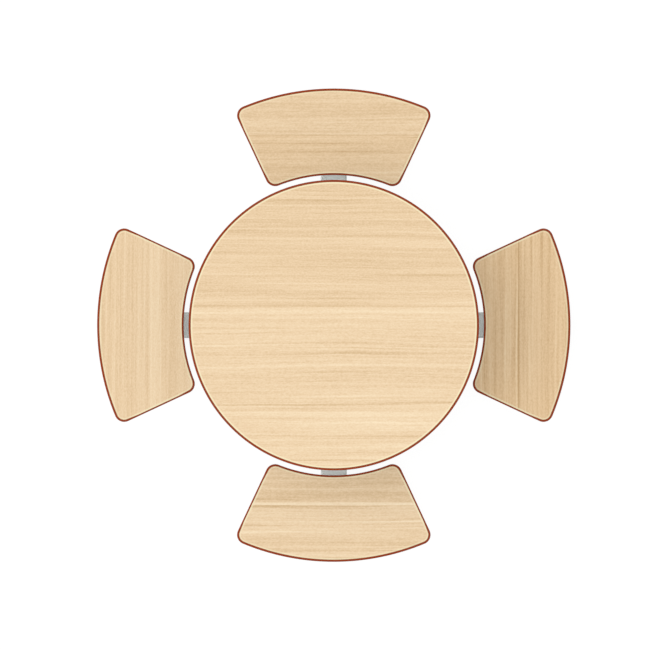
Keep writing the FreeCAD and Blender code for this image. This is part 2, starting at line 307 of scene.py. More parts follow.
corners = [(x * FLOOR_HALF_SIZE, y * FLOOR_HALF_SIZE, 0) for x, y in FOUR_WAYS]
floor_mesh = bpy.data.meshes.new("pale_floor")
floor_mesh.from_pydata(corners, [], [(0, 1, 2, 3)])
floor_mesh.materials.append(floor_material)
floor = bpy.data.objects.new("pale_floor", floor_mesh)
scene.collection.objects.link(floor)
print(f"floor {2 * FLOOR_HALF_SIZE:.0f} wide")

# %% [markdown]
# ## Laminate
#
# The boards are faced with a printed wood laminate: light beech or ash with long, nearly straight
# grain. The print is laid in wide staves, each with its own tone. A joint between two of them is a
# ruled line, dark or with a strip of pale sapwood beside it. In a stave, broad bands run the whole
# length. Narrow streaks fill them, and a few darker and paler lines stand out. Fine specks break
# the streaks up, and short dark pores lie among them. Each is noise stretched along the grain.
#
# The vector that goes in has its grain along X. It comes from the object's own coordinates, so the
# grain turns with a seat. The numbers say which part of the sheet a board is cut from, where a
# joint lies and how it is drawn, how strong the streaks and lines are, and the tone: its level, its
# slope across the grain and its warmth. On the seats the slope is painted light, paler where the
# table's shadow falls.

# %% Sockets of the wood grain group
SHEET_VALUES = ("Sheet", "Joint", "Joint Line", "Strip", "Strip Width")
SHEET_VALUES += ("Streaks", "Lines", "Tone", "Slope", "Warmth")
inputs = {"Vector": "Vector", "Light": "Color", "Middle": "Color", "Dark": "Color"}
inputs.update(dict.fromkeys(SHEET_VALUES, "Float"))
outputs = {"Color": "Color", "Height": "Float", "Roughness": "Float"}
grain, taken, given = new_group("wood_grain", inputs, outputs)


def grain_sum(operation, first, second=0.0):
    """Result of one sum inside the wood grain."""
    return math_node(grain, operation, first, second)


def grain_noise(vector, along, across, detail=2.0, roughness=0.5):
    """Noise with so many spots per metre along the grain and across it."""
    return noise(grain, scaled(grain, vector, (along, across, 1.0)), 1.0, detail, roughness)


print(f"wood grain takes {len(inputs)} inputs")

# %% [markdown]
# Dividing the distance across the grain by a stave's width gives each stave a whole number. White
# noise turns it into a pick between 0 and 1, which sets the stave's tone and its place in the
# sheet. The distance to the nearest joint gives the ruled line. The strip of sapwood lies on one
# side of the board's own joint.

# %% Staves and their joints
STAVE_WIDTH, SEED_PER_SHEET = 0.28, 17.3
JOINT_CORE, JOINT_HALF_WIDTH = 0.6 * MM, 4.0 * MM
STRIP_SOFTNESS = 0.006

across_grain = place(grain, "ShaderNodeSeparateXYZ", {0: taken["Vector"]}).outputs["Y"]
from_joint = grain_sum("DIVIDE", grain_sum("SUBTRACT", across_grain, taken["Joint"]), STAVE_WIDTH)
seed = grain_sum("MULTIPLY", taken["Sheet"], SEED_PER_SHEET)
stave = grain_sum("ADD", grain_sum("FLOOR", from_joint), seed)
pick = place(grain, "ShaderNodeTexWhiteNoise", {"W": stave}, noise_dimensions="1D").outputs["Value"]
to_joint = grain_sum("SUBTRACT", grain_sum("FRACT", grain_sum("ADD", from_joint, 0.5)), 0.5)
to_joint = grain_sum("MULTIPLY", grain_sum("ABSOLUTE", to_joint), STAVE_WIDTH)
joint_mask = remap(grain, to_joint, JOINT_CORE, JOINT_HALF_WIDTH, 1.0, 0.0)
joint_share = grain_sum("MULTIPLY", joint_mask, grain_sum("MULTIPLY", taken["Joint Line"], -1.0))
strip_middle = grain_sum("DIVIDE", taken["Strip Width"], -2 * STAVE_WIDTH)
from_middle = grain_sum("ABSOLUTE", grain_sum("SUBTRACT", from_joint, strip_middle))
past_strip = grain_sum("ADD", from_middle, strip_middle)
strip_mask = remap(grain, past_strip, -STRIP_SOFTNESS, STRIP_SOFTNESS, 1.0, 0.0)
strip_share = grain_sum("MULTIPLY", strip_mask, taken["Strip"])
print(f"staves are {STAVE_WIDTH} wide")

# %% [markdown]
# Every board and stave is cut from its own place in the sheet. A slow wander and a smaller ripple
# then bend the cut, so that all the layers bend together.

# %% Layers of grain
SHEET_STEP_ALONG, SHEET_STEP_ACROSS = 3.7, 1.3
STAVE_STEP_ALONG, STAVE_STEP_DEEP = 9.0, 5.0
WANDER, RIPPLE = 0.030, 0.005

sheet_step = grain_sum("MULTIPLY", taken["Sheet"], SHEET_STEP_ALONG)
steps = {
    "X": grain_sum("ADD", grain_sum("MULTIPLY", pick, STAVE_STEP_ALONG), sheet_step),
    "Y": grain_sum("MULTIPLY", taken["Sheet"], SHEET_STEP_ACROSS),
    "Z": grain_sum("MULTIPLY", pick, STAVE_STEP_DEEP),
}
cut_place = place(grain, "ShaderNodeCombineXYZ", steps).outputs[0]
cut = place(grain, "ShaderNodeVectorMath", {0: taken["Vector"], 1: cut_place}).outputs[0]
wander = centred(grain, grain_noise(cut, 1.1, 2.5), WANDER)
ripple = centred(grain, grain_noise(cut, 4.0, 12.0), RIPPLE)
bend = place(grain, "ShaderNodeCombineXYZ", {"Y": grain_sum("ADD", wander, ripple)}).outputs[0]
along = place(grain, "ShaderNodeVectorMath", {0: cut, 1: bend}).outputs[0]
bands = grain_noise(along, 0.4, 11.0)
streaks = grain_noise(along, 1.3, 110.0, 3.0, 0.6)
swaths = grain_noise(along, 0.6, 34.0)
lines = grain_noise(along, 1.1, 85.0, 1.0)
specks = grain_noise(along, 150.0, 260.0)
fibres = grain_noise(along, 22.0, 700.0)
pores = grain_noise(along, 60.0, 1300.0)
print(f"{len(grain.nodes)} nodes of grain so far")

# %% [markdown]
# The layers are added up to one tone, 0 for dark and 1 for light. Streaks are stronger where the
# bands are busy, and only the ends of the line noise count, so lines stay few. The tone picks the
# colour between three woods, and a warmer tint is laid over some staves. A range says from what to
# what a layer goes, and what that becomes.

# %% From layers to colour
STREAK_WEIGHT = 0.64
LAYER_WEIGHTS = ((bands, 0.18), (swaths, 0.20), (specks, 0.62), (fibres, 0.42), (pick, 0.16))
BUSY_BANDS = (0.38, 0.62, 0.75, 1.15)
DARK_LINES, PALE_LINES = (0.60, 0.78, 0.0, -0.30), (0.38, 0.24, 0.0, 0.20)
PORE_DEPTHS = (0.36, 0.26, 0.0, 0.45)
WARM_TINT = (1.0, 0.91, 0.77, 1)
DARK_ROUGHNESS, LIGHT_ROUGHNESS = 0.50, 0.40

busy = remap(grain, bands, *BUSY_BANDS)
dark_lines = remap(grain, lines, *DARK_LINES)
pale_lines = remap(grain, lines, *PALE_LINES)
line_share = grain_sum("MULTIPLY", grain_sum("ADD", dark_lines, pale_lines), taken["Lines"])
streak_share = grain_sum("ADD", centred(grain, streaks, STREAK_WEIGHT), line_share)
tone = grain_sum("MULTIPLY", grain_sum("MULTIPLY", streak_share, busy), taken["Streaks"])
tone = grain_sum("ADD", tone, grain_sum("ADD", taken["Tone"], 0.5))
# The slope across the grain: on the seats it is painted light that grows towards the table.
tone = grain_sum("ADD", tone, grain_sum("MULTIPLY", across_grain, taken["Slope"]))
shares = [centred(grain, layer, weight) for layer, weight in LAYER_WEIGHTS]
for share in [joint_share, strip_share] + shares:
    tone = grain_sum("ADD", tone, share)

darker = mixed(grain, remap(grain, tone, 0.0, 0.5), taken["Dark"], taken["Middle"])
wood = mixed(grain, remap(grain, tone, 0.5, 1.0), darker, taken["Light"])
warmer = mixed(grain, 1.0, wood, WARM_TINT, "MULTIPLY")
warmth = grain_sum("MULTIPLY", taken["Warmth"], grain_sum("SUBTRACT", 1.0, pick))
wood = mixed(grain, warmth, wood, warmer)
pore_mask = remap(grain, pores, *PORE_DEPTHS)
wood = mixed(grain, pore_mask, wood, taken["Dark"])
height = grain_sum("MULTIPLY", grain_sum("SUBTRACT", fibres, pore_mask), 0.5)
rough = remap(grain, tone, 0.2, 0.8, DARK_ROUGHNESS, LIGHT_ROUGHNESS)
fill(grain, given, {"Color": wood, "Height": height, "Roughness": rough})
print(f"wood grain has {len(grain.nodes)} nodes")

# %% [markdown]
# ## Texture and scuffs
#
# Moulded plastic, powder paint and castings all have a fine, even unevenness: the paint's orange
# peel, the sand's print on a casting, the spark-eroded mould. One group gives it at any size, with
# a slow drift of tone over the whole piece.

# %% Fine texture as a node group
LIGHTER, DEEPER = (1.25, 1.25, 1.25, 1), (0.75, 0.75, 0.75, 1)
DRIFT_SPOTS = 6.0
DRIFT_GAIN, FLECK_GAIN = 4.0, 0.35

inputs = {"Vector": "Vector", "Size": "Float", "Color": "Color", "Drift": "Float"}
outputs = {"Color": "Color", "Height": "Float", "Mask": "Float"}
texture, taken, given = new_group("fine_texture", inputs, outputs)
peel = noise(texture, taken["Vector"], math_node(texture, "DIVIDE", 1.0, taken["Size"]))
drift = noise(texture, taken["Vector"], DRIFT_SPOTS, 3.0)
lighter = mixed(texture, 1.0, taken["Color"], LIGHTER, "MULTIPLY")
deeper = mixed(texture, 1.0, taken["Color"], DEEPER, "MULTIPLY")
swing = math_node(texture, "MULTIPLY", centred(texture, drift, taken["Drift"]), DRIFT_GAIN)
swing = math_node(texture, "ADD", swing, centred(texture, peel, FLECK_GAIN))
swing = math_node(texture, "ADD", swing, 0.5, clamp=True)
color = mixed(texture, swing, deeper, lighter)
fill(texture, given, {"Color": color, "Height": peel, "Mask": drift})
print(f"fine texture has {len(texture.nodes)} nodes")

# %% [markdown]
# The faint scuffs that shoes and hands leave are long thin scratches in three directions, kept to
# a few patches.

# %% Scuffs as a node group
SCUFF_STRETCH = (14.0, 900.0, 60.0)
SCUFF_TURNS = ((0.35, 0.655), (1.9, 0.66), (2.7, 0.665))
SCUFF_SOFTNESS, PATCH_SPOTS, PATCH_RANGE = 0.05, 9.0, (0.48, 0.66)

inputs = {"Vector": "Vector", "Amount": "Float"}
scuffs, taken, given = new_group("scuffs", inputs, {"Mask": "Float"})
scratches = []
for turn, limit in SCUFF_TURNS:
    turned = place(scuffs, "ShaderNodeVectorRotate", {"Vector": taken["Vector"], "Angle": turn})
    fine = noise(scuffs, scaled(scuffs, turned.outputs[0], SCUFF_STRETCH), 1.0, 1.0)
    scratches.append(remap(scuffs, fine, limit, limit + SCUFF_SOFTNESS))
worn = math_node(scuffs, "MAXIMUM", scratches[0], scratches[1])
worn = math_node(scuffs, "MAXIMUM", worn, scratches[2])
patches = remap(scuffs, noise(scuffs, taken["Vector"], PATCH_SPOTS, 3.0), *PATCH_RANGE)
worn = math_node(scuffs, "MULTIPLY", worn, patches)
fill(scuffs, given, {"Mask": math_node(scuffs, "MULTIPLY", worn, taken["Amount"])})
print(f"scuffs have {len(scuffs.nodes)} nodes")

# %% [markdown]
# ## Materials
#
# One helper sets the numbers that are the same all over a surface, and another links in the colour,
# roughness and height that a group puts out.


# %% Material helpers
def new_material(name, sockets):
    """Material with a Principled shader: its tree, the shader, and the object's own coordinates."""
    material = bpy.data.materials.new(name)
    material.use_nodes = True
    tree = material.node_tree
    shader = tree.nodes["Principled BSDF"]
    fill(tree, shader, sockets)
    position = place(tree, "ShaderNodeTexCoord").outputs["Object"]
    return material, tree, shader, position


def feed(tree, shader, color, roughness, height, depth, strength):
    """Links a colour, a roughness and a bump into a shader."""
    values = {"Height": height, "Distance": depth, "Strength": strength}
    normal = place(tree, "ShaderNodeBump", values).outputs["Normal"]
    fill(tree, shader, {"Base Color": color, "Roughness": roughness, "Normal": normal})


print("material helpers ready")

# %% [markdown]
# Each board is cut from another place in the sheet, so it has its own row of numbers. The grain
# runs along X on the table, and across the front of a sitter on every seat. A thin paler line
# follows each board's edge: a painted highlight, standing for the light that the trimmed face sheet
# catches. The mesh carries it as an attribute named rim, stronger where the moulded edge is narrow.

# %% Laminate for each board
WOOD_LIGHT = seen(253, 233, 198)
WOOD_MIDDLE = seen(239, 211, 173)
WOOD_DARK = seen(208, 176, 131)
# The paler line along each board's edge is a painted highlight: this is its colour, and the next
# two numbers say how strongly the table and the seats take it.
RIM_HIGHLIGHT_COLOR = seen(252, 240, 200)
TABLE_RIM_HIGHLIGHT, SEAT_RIM_HIGHLIGHT = 0.8, 0.5
# The ninth column is the slope across the grain. On seats 1 to 3 it is painted light: they grow
# paler towards the table, where its shadow falls on them. The table's top grows a little darker
# towards +Y.
BOARD_SHEETS = {
    "table": (163, 0.056, 0.0, 0.14, 0.034, 1.2, 0.9, 0.0, -0.08, 0.0),
    1: (267, 0.572, 0.5, 0.0, 0.034, 1.4, 1.0, 0.065, -0.17, 1.1),
    2: (678, 0.588, 0.2, 0.0, 0.034, 1.1, 1.2, 0.24, -0.5, 0.2),
    3: (203, -0.535, 0.0, 0.12, 0.034, 1.1, 0.7, 0.385, 0.6, 0.2),
    4: (204, -0.549, 0.0, 0.3, 0.008, 1.25, 1.3, -0.005, 0.0, 0.0),
}


def laminate(name, turn, rim_highlight, sheet):
    """Wood laminate with the grain turned from X, taken from its own part of the sheet."""
    material, tree, shader, position = new_material(name, {"Specular IOR Level": 0.16})
    turned = place(tree, "ShaderNodeMapping", {"Vector": position, "Rotation": (0, 0, turn)})
    values = dict(zip(SHEET_VALUES, sheet), Vector=turned.outputs[0])
    values.update(Light=WOOD_LIGHT, Middle=WOOD_MIDDLE, Dark=WOOD_DARK)
    face = use_group(tree, grain, values)
    # The rim attribute lays the painted highlight along the board's edge.
    rim = place(tree, "ShaderNodeAttribute", attribute_name="rim").outputs["Fac"]
    paler = math_node(tree, "MULTIPLY", rim, rim_highlight)
    color = mixed(tree, paler, face["Color"], RIM_HIGHLIGHT_COLOR)
    feed(tree, shader, color, face["Roughness"], face["Height"], depth=0.00008, strength=0.5)
    return material


laminates = {}
for key, sheet in BOARD_SHEETS.items():
    turn = math.pi / 2 if key in (1, 3) else 0.0
    rim_highlight = TABLE_RIM_HIGHLIGHT if key == "table" else SEAT_RIM_HIGHLIGHT
    laminates[key] = laminate(f"laminate_{key}", turn, rim_highlight, sheet)
print(f"{len(laminates)} laminates")

# %% [markdown]
# The other finishes share the texture group: moulded edge, paper core, backing sheet, powder paint,
# painted casting, three plastics and painted welds. Each row gives the size of its spots, its drift
# of tone, roughness, depth and scuffs.

# %% Finishes of the moulded and painted pieces
RUST = (0.205, 0.027, 0.0015, 1)
LAMINATE_CORE = (0.22, 0.072, 0.018, 1)
BACKING = (0.20, 0.17, 0.14, 1)
SILVER = (0.58, 0.61, 0.59, 1)
CASTING_GREY = (0.12, 0.125, 0.125, 1)
BLACK_PLASTIC = (0.018, 0.018, 0.018, 1)
CAP_GREY = (0.23, 0.24, 0.24, 1)
SCUFF_LIFT, SCUFF_GAIN, SCUFF_ROUGHNESS = 0.08, 1.35, 0.25
MASK_LOW, MASK_HIGH = 0.3, 0.7


def textured(name, color, size, drift, roughness, depth, scuffed, sockets=None):
    """Finish with a fine texture of one size, and scuffs that lighten it a little."""
    material, tree, shader, position = new_material(name, sockets or {})
    values = {"Vector": position, "Size": size, "Color": color, "Drift": drift}
    face = use_group(tree, texture, values)
    marks = use_group(tree, scuffs, {"Vector": position, "Amount": scuffed})["Mask"]
    paler = tuple(min(1.0, SCUFF_LIFT + SCUFF_GAIN * part) for part in color[:3]) + (1.0,)
    shown = mixed(tree, marks, face["Color"], paler)
    ends = roughness - 0.05, roughness + 0.06
    gloss = remap(tree, face["Mask"], MASK_LOW, MASK_HIGH, *ends)
    rubbed = math_node(tree, "MULTIPLY", marks, SCUFF_ROUGHNESS)
    gloss = math_node(tree, "ADD", gloss, rubbed, clamp=True)
    feed(tree, shader, shown, gloss, face["Height"], depth, strength=0.6)
    return material


satin, paint = {"Specular IOR Level": 0.08}, {"Metallic": 0.1}
rust_edge = textured("rust_moulding", RUST, 0.0011, 0.10, 0.42, 0.00006, 0.2, satin)
laminate_core = textured("laminate_core", LAMINATE_CORE, 0.0008, 0.10, 0.55, 0.00004, 0.0)
backing = textured("backing_sheet", BACKING, 0.0016, 0.10, 0.55, 0.00005, 0.3)
silver_paint = textured("silver_paint", SILVER, 0.0014, 0.06, 0.42, 0.00009, 0.14, paint)
cast_paint = textured("cast_paint", CASTING_GREY, 0.0024, 0.16, 0.50, 0.00025, 0.25)
bearing_black = textured("bearing_black", BLACK_PLASTIC, 0.0008, 0.15, 0.36, 0.00003, 0.5)
foot_black = textured("foot_black", BLACK_PLASTIC, 0.0009, 0.2, 0.48, 0.00006, 0.7)
cap_grey = textured("cap_grey", CAP_GREY, 0.0007, 0.10, 0.50, 0.00005, 0.6)
weld_metal = textured("painted_weld", SILVER, 0.0009, 0.08, 0.40, 0.00012, 0.0, paint)
print(f"{len(bpy.data.materials)} materials so far")

# %% [markdown]
# Three steels are left bare: the turned spindles, the zinc-plated screws and studs, and the blued
# torsion bars. Their rings are noise squeezed along the upright axis.

# %% Finishes of the bare steels
STEEL_SPOT, STEEL_DRIFT = 0.004, 0.2
RING_SPOTS_AROUND = 8.0


def steel(name, color, roughness, ring_pitch, depth):
    """Bare metal with fine turned or drawn rings about the upright axis."""
    material, tree, shader, position = new_material(name, {"Metallic": 1.0})
    stretch = (RING_SPOTS_AROUND, RING_SPOTS_AROUND, 1 / ring_pitch)
    rings = noise(tree, scaled(tree, position, stretch), 1.0)
    values = {"Vector": position, "Size": STEEL_SPOT, "Color": color, "Drift": STEEL_DRIFT}
    face = use_group(tree, texture, values)
    gloss = remap(tree, rings, MASK_LOW, MASK_HIGH, roughness - 0.08, roughness + 0.1)
    feed(tree, shader, face["Color"], gloss, rings, depth, strength=0.5)
    return material


turned_steel = steel("turned_steel", (0.55, 0.55, 0.56, 1), 0.30, 0.0007, 0.00004)
zinc = steel("zinc_plate", (0.62, 0.64, 0.66, 1), 0.34, 0.0030, 0.00003)
blued_steel = steel("blued_steel", (0.10, 0.11, 0.15, 1), 0.35, 0.0050, 0.00003)
print(f"{len(bpy.data.materials)} materials")

# %% [markdown]
# ## Building pieces
#
# Every piece ends the same way: a mesh with smooth shading up to sharp corners, one or more
# materials, a body to ride on, and the nodes that it stands for. Most are a stack of loops of
# vertices, with a band of faces between each two.

# %% Tools that every piece uses
SMOOTH_BELOW = math.radians(32)


def finish_piece(name, built, materials, body, stands_for=()):
    """Object from a bmesh, shaded, painted and riding on its body."""
    bmesh.ops.recalc_face_normals(built, faces=built.faces)
    mesh = bpy.data.meshes.new(name)
    built.to_mesh(mesh)
    built.free()
    if "custom_normal" in mesh.attributes:
        mesh.attributes.remove(mesh.attributes["custom_normal"])
    for material in materials:
        mesh.materials.append(material)
    mesh.shade_smooth()
    mesh.set_sharp_from_angle(angle=SMOOTH_BELOW)
    piece = bpy.data.objects.new(name, mesh)
    scene.collection.objects.link(piece)
    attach(piece, body)
    if stands_for:
        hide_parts(*stands_for)
    return piece


def wrap(built, loops):
    """Bands of faces from each closed loop of vertices to the next one."""
    for first, second in zip(loops, loops[1:]):
        for k, corner in enumerate(first):
            after = (k + 1) % len(first)
            built.faces.new((corner, first[after], second[after], second[k]))


def wrap_closed(built, loops):
    """Bands of faces along the loops, and a face at each end."""
    wrap(built, loops)
    return built.faces.new(reversed(loops[0])), built.faces.new(loops[-1])


def quarter_turns(steps):
    """Angles from nothing to a right angle, evenly spaced."""
    return [math.pi / 2 * k / steps for k in range(steps + 1)]


print("tools for pieces ready")

# %% [markdown]
# An outline is a list of points with the direction that faces outwards, so one outline serves the
# board and the edge band round it. The table's is a full arc. The seat's is a sector of a ring: two
# arcs about the table's axis, two straight ends that point at it, and four round corners.
#
# The moulded edge of a seat is a little narrower on the front arc, and two thirds as wide on the
# straight ends. A direction that is shorter than one does that: every step inwards gets shorter
# there, so the board and its edge still meet.

# %% Outlines of the boards
ROUND_STEPS = 288
SEAT_ARC_STEPS, SEAT_CORNER_STEPS, SEAT_END_STEPS = 20, 14, 6
FRONT_BAND_SHARE, END_BAND_SHARE = 0.87, 0.66


def arc_points(centre, radius, start, end, steps, share=1):
    """Points of an arc but its last one. A negative share turns their directions inwards."""
    made = []
    for k in range(steps):
        turn = start + (end - start) * k / steps
        direction = Vector((math.cos(turn), math.sin(turn), 0))
        made.append((centre + direction * radius, direction * share))
    return made


def seat_outline():
    """Points and outward directions round seat 1, against the clock from its back."""
    end_direction = Vector((math.cos(SEAT_HALF_ANGLE), math.sin(SEAT_HALF_ANGLE), 0))
    end_normal = Vector((-math.sin(SEAT_HALF_ANGLE), math.cos(SEAT_HALF_ANGLE), 0))

    def corner_centre(distance):
        return end_direction * math.sqrt(distance**2 - SEAT_CORNER**2) - end_normal * SEAT_CORNER

    outer = corner_centre(seat_outer_radius - SEAT_CORNER)
    inner = corner_centre(seat_inner_radius + SEAT_CORNER)
    outer_turn = math.atan2(outer.y, outer.x)
    inner_turn = math.atan2(inner.y, inner.x)
    normal_turn = SEAT_HALF_ANGLE + math.pi / 2
    made = arc_points(ORIGIN, seat_outer_radius, 0, outer_turn, SEAT_ARC_STEPS)
    made += arc_points(outer, SEAT_CORNER, outer_turn, normal_turn, SEAT_CORNER_STEPS)
    for k in range(SEAT_END_STEPS):
        middle = outer.lerp(inner, k / SEAT_END_STEPS)
        share = END_BAND_SHARE if k else 1.0
        made.append((middle + end_normal * SEAT_CORNER, end_normal * share))
    made += arc_points(inner, SEAT_CORNER, normal_turn, inner_turn + math.pi, SEAT_CORNER_STEPS)
    front = -FRONT_BAND_SHARE
    made += arc_points(ORIGIN, seat_inner_radius, inner_turn, 0, SEAT_ARC_STEPS, front)
    flip = Matrix.Diagonal((1, -1, 1))
    mirrored = [(flip @ point, flip @ direction) for point, direction in reversed(made[1:])]
    made.append((Vector((seat_inner_radius, 0, 0)), Vector((front, 0, 0))))
    return made + mirrored


def outline_loop(built, outline, inset, height, turn, further=0.0):
    """Loop along an outline, lifted and moved inwards by its directions, then evenly further."""
    lift = UP * height
    loop = []
    for point, direction in outline:
        inwards = direction * inset + direction.normalized() * further
        loop.append(built.verts.new(turn @ (point - inwards + lift)))
    return loop


print(f"seat outline: {len(seat_outline())} points")

# %% [markdown]
# A board is a stack of loops that follow the outline: up its side, over a fine chamfer and in
# across the face. The chamfer cuts through the printed face into the sheet's brown paper core,
# which shows as a dark hairline along the edge band. The band is the same idea with a closed
# profile: flat where it grips the board, and round outside.

# %% Boards and their edge bands
BOARD_CHAMFER, BAND_CHAMFER = 0.9 * MM, 0.3 * MM
# RIM_WIDTH and RIM_FADE say how far the painted highlight reaches in from the edge and how it
# fades.
RIM_WIDTH, RIM_FADE = 4.6 * MM, 2.0 * MM
BAND_ROUND, BAND_ROUND_STEPS = 3.0 * MM, 6
UNDERSIDE, CORE = 1, 2


def board(name, outline, node, body, turn, face_material):
    """Laminated board: its face in wood, and its underside in the plain backing sheet."""
    bottom, top = low(node).z, high(node).z
    built = bmesh.new()
    rim_layer = built.verts.layers.float.new("rim")
    steps = ((0, bottom), (0, top - BOARD_CHAMFER), (BOARD_CHAMFER, top))
    steps += ((RIM_WIDTH, top), (RIM_WIDTH + RIM_FADE, top))
    loops = [
        outline_loop(built, outline, edge_thickness, height, turn, further)
        for further, height in steps
    ]
    underside, _ = wrap_closed(built, loops)
    underside.material_index = UNDERSIDE
    chamfer = set(loops[1] + loops[2])
    for face in built.faces:
        if chamfer.issuperset(face.verts):
            face.material_index = CORE
    # The loops near the edge carry the rim attribute, the strength of the painted highlight.
    for loop in loops[1:4]:
        for vertex, (_, direction) in zip(loop, outline):
            vertex[rim_layer] = 1 / direction.length
    materials = (face_material, backing, laminate_core)
    finish_piece(name, built, materials, body, (node,))


def edge_band(name, outline, node, body, turn):
    """Moulded band round a board."""
    bottom, top = low(node).z, high(node).z
    profile = [(edge_thickness, bottom), (edge_thickness, top - BAND_CHAMFER)]
    profile.append((edge_thickness - BAND_CHAMFER, top))
    curve = [
        (BAND_ROUND * (1 - math.sin(turned)), BAND_ROUND * (1 - math.cos(turned)))
        for turned in quarter_turns(BAND_ROUND_STEPS)
    ]
    profile += [(inset, top - drop) for inset, drop in curve]
    profile += [(inset, bottom + rise) for rise, inset in curve]
    built = bmesh.new()
    loops = [outline_loop(built, outline, inset, height, turn) for inset, height in profile]
    wrap(built, loops + loops[:1])
    finish_piece(name, built, (rust_edge,), body, (node,))


rim = arc_points(ORIGIN, table_radius, 0, math.tau, ROUND_STEPS)
board("table_board", rim, "tabletop_board", "base", Matrix(), laminates["table"])
edge_band("table_edge_band", rim, "tabletop_edge", "base", Matrix())
rim = seat_outline()
for station in STATIONS:
    turn, body = station_turn(station), f"seat_{station}"
    name, node = f"seat_{station}_board", f"seat_board_{station}"
    board(name, rim, node, body, turn, laminates[station])
    edge_band(f"seat_{station}_edge_band", rim, f"seat_edge_{station}", body, turn)
print(f"{1 + len(STATIONS)} boards with their edge bands")

# %% [markdown]
# ## Rounded edges
#
# The solids of the frame have knife-sharp corners, and light gives that away at once. A copy of the
# node's mesh is joined up, its flat faces are merged, and a bevel rounds its sharp edges: large on
# a casting, small on a turned or moulded piece.

# %% Round the edges of a node
JOIN_WITHIN = 0.002 * MM
FLAT_BELOW = math.radians(0.6)
SHARP_ABOVE = math.radians(28)


def rounded(node, radius, material, segments=2):
    """Copy of a node with its sharp edges rounded, standing for the node."""
    source = nodes[node]
    built = bmesh.new()
    built.from_mesh(source.data)
    bmesh.ops.remove_doubles(built, verts=built.verts, dist=JOIN_WITHIN)
    bmesh.ops.dissolve_limit(built, angle_limit=FLAT_BELOW, verts=built.verts, edges=built.edges)
    edges = [edge for edge in built.edges if edge.calc_face_angle(0) > SHARP_ABOVE]
    size = {"offset": radius, "segments": segments, "profile": 0.5}
    bmesh.ops.bevel(built, geom=edges, affect="EDGES", clamp_overlap=True, **size)
    for face in built.faces:
        face.material_index = 0
    finish_piece(f"{node}_rounded", built, (material,), source["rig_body"], (node,))


rounded("top_spider", 1.6 * MM, cast_paint)
rounded("column_head_plate", 0.8 * MM, silver_paint)
rounded("bearing_blocks", 0.6 * MM, bearing_black)
for station in STATIONS:
    rounded(f"seat_spider_{station}", 1.4 * MM, cast_paint)
    rounded(f"spindle_{station}", 0.5 * MM, turned_steel)
    rounded(f"foot_base_{station}", 1.2 * MM, foot_black, segments=3)
print("edges rounded")

# %% [markdown]
# The tubes already have rolled corners, so they keep their own meshes and only take a finish, as do
# the small pieces inside the posts.

# %% Finish the nodes that keep their meshes
kept = dict.fromkeys(("column", "column_base_plate", "bar_anchors"), silver_paint)
kept["torsion_bars"] = blued_steel
for station in STATIONS:
    kept[f"arm_{station}"] = silver_paint
    kept[f"post_{station}"] = silver_paint
    kept[f"retaining_key_{station}"] = turned_steel
for node, material in kept.items():
    for slot in nodes[node].material_slots:
        slot.material = material
print(f"{len(kept)} nodes keep their meshes")

# %% [markdown]
# ## Weld beads
#
# The column, arms and posts are welded, and a weld shows: a small convex bead in each inner corner,
# with the ripples that the welder's hand leaves. A bead is a profile swept along the joint. One of
# its legs goes outwards from the joint, and the other follows the tube. The profile grows and
# shrinks a little along the way, which makes the ripples.

# %% Sweep a weld bead
RIPPLE_PITCH = 2.6 * MM
RIPPLE_SHARE, RIPPLE_JITTER = 0.06, 0.025
BEAD_STEPS_PER_RIPPLE = 4
BEAD_STEP = RIPPLE_PITCH / BEAD_STEPS_PER_RIPPLE
BEAD_PROFILE = ((0.0, 1.0), (0.30, 0.88), (0.62, 0.62), (0.88, 0.30), (1.0, 0.0))
BEAD_SINK = 0.4 * MM
CORNER_STEPS = 6
ripple_random = random.Random(11)


def joint_line(length, width, corner, step=math.inf):
    """Points and outward directions round a rounded rectangle in the XY plane."""
    made = []
    x_reach, y_reach = length / 2 - corner, width / 2 - corner
    centres = [Vector((x * x_reach, y * y_reach, 0)) for x, y in FOUR_WAYS]
    for k, centre in enumerate(centres):
        turns = [math.pi / 2 * (k + part / CORNER_STEPS) for part in range(CORNER_STEPS + 1)]
        directions = [Vector((math.cos(turn), math.sin(turn), 0)) for turn in turns]
        made += [(centre + direction * corner, direction) for direction in directions]
        start, end = made[-1][0], centres[(k + 1) % 4] + directions[-1] * corner
        count = max(1, round((end - start).length / step))
        made += [(start.lerp(end, part / count), directions[-1]) for part in range(1, count)]
    return made


def add_bead(built, line, axis, leg, closed=True):
    """Bead along a line of points and outward directions, between those directions and an axis."""
    loops = []
    for k, (point, direction) in enumerate(line):
        swell = 1 + RIPPLE_SHARE * math.cos(math.tau * k / BEAD_STEPS_PER_RIPPLE)
        swell += ripple_random.uniform(-RIPPLE_JITTER, RIPPLE_JITTER)
        size = leg * swell
        loop = [point + direction * out * size + axis * up * size for out, up in BEAD_PROFILE]
        loop.append(point - direction * BEAD_SINK - axis * BEAD_SINK)
        loops.append([built.verts.new(corner) for corner in loop])
    if closed:
        wrap(built, loops + loops[:1])
    else:
        wrap_closed(built, loops)


print(f"a ripple every {RIPPLE_PITCH / MM:.1f} mm")

# %% [markdown]
# Three joints need a bead: the head plate on the column, a post on its arm, and an arm against the
# column. The last bead runs up one side of the arm, over it, and down the other side. It stops at
# the underside, which is flush with the column's end.

# %% Weld the base together
POST_LEG, HEAD_LEG, ARM_LEG = 3.6 * MM, 5.0 * MM, 4.2 * MM
LOOKS_DOWN = -0.5
column_side = high("column").x - low("column").x
post_side = high("post_1").x - low("post_1").x
arm_size = high("arm_1") - low("arm_1")
arm_width, arm_height = arm_size.y, arm_size.z
arm_middle = (low("arm_1").z + high("arm_1").z) / 2

